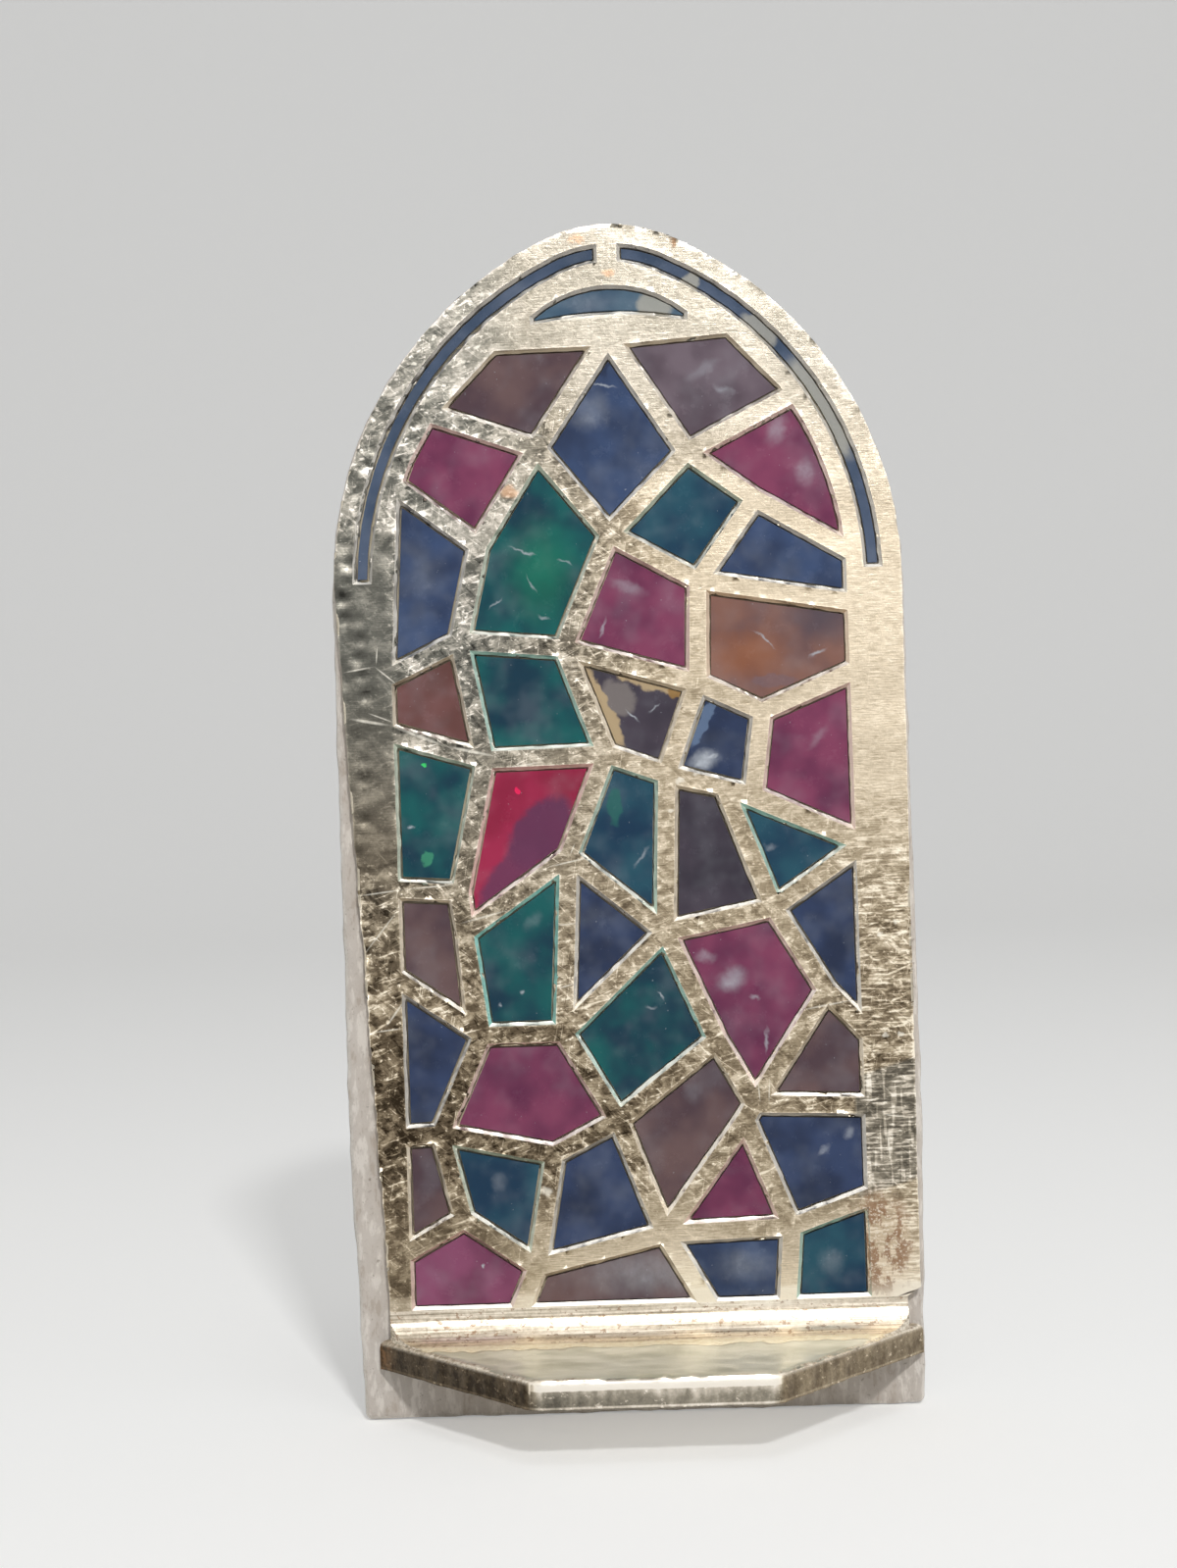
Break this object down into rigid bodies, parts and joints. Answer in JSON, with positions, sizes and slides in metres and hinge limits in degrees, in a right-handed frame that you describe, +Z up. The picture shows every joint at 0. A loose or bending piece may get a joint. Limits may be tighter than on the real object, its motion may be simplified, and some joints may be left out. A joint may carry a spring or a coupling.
{
  "type": "devotional plaque with shelf",
  "caption": "Small upright plaque like a stained-glass window: plate with a pointed arch, pierced gilt sheet bent forward at the foot into a shelf, and coloured panes set in its openings.",
  "frame": {"origin": "middle of the plate's flat bottom face", "axes": "+Z up along the plate's height, +X to the right seen from the front, and the front faces -Y"},
  "size_m": [0.0338, 0.0127, 0.07],
  "materials": {
    "ivory": "moulded ivory plastic, worn edges, matte",
    "film": "thin milky bonding film",
    "gilt": "thin pale gilding over brass sheet, fine level graining, dented, scratched and tarnished",
    "blue": "tinted transparent resin, glossy, scratched",
    "teal": "tinted transparent resin, glossy, scratched",
    "magenta": "tinted transparent resin, glossy, scratched",
    "brown": "tinted transparent resin, glossy, scratched",
    "amber": "tinted transparent resin, glossy, scratched",
    "red": "tinted transparent resin, glossy, scratched"
  },
  "bodies": {
    "root": {"backing_plate": "ivory", "adhesive_film": "film", "front_sheet": "gilt", "arch_pane_right": "blue", "arch_pane_left": "blue", "crescent_pane": "blue", "pane_01": "brown", "pane_02": "brown", "pane_03": "blue", "pane_04": "magenta", "pane_05": "magenta", "pane_06": "teal", "pane_07": "teal", "pane_08": "blue", "pane_09": "blue", "pane_10": "magenta", "pane_11": "amber", "pane_12": "brown", "pane_13": "teal", "pane_14": "brown", "pane_15": "blue", "pane_16": "magenta", "pane_17": "teal", "pane_18": "red", "pane_19": "teal", "pane_20": "brown", "pane_21": "teal", "pane_22": "blue", "pane_23": "brown", "pane_24": "teal", "pane_25": "blue", "pane_26": "magenta", "pane_27": "teal", "pane_28": "blue", "pane_29": "brown", "pane_30": "magenta", "pane_31": "brown", "pane_32": "blue", "pane_33": "brown", "pane_34": "teal", "pane_35": "blue", "pane_36": "magenta", "pane_37": "magenta", "pane_38": "brown", "pane_39": "blue", "pane_40": "teal"}
  },
  "joints": []
}
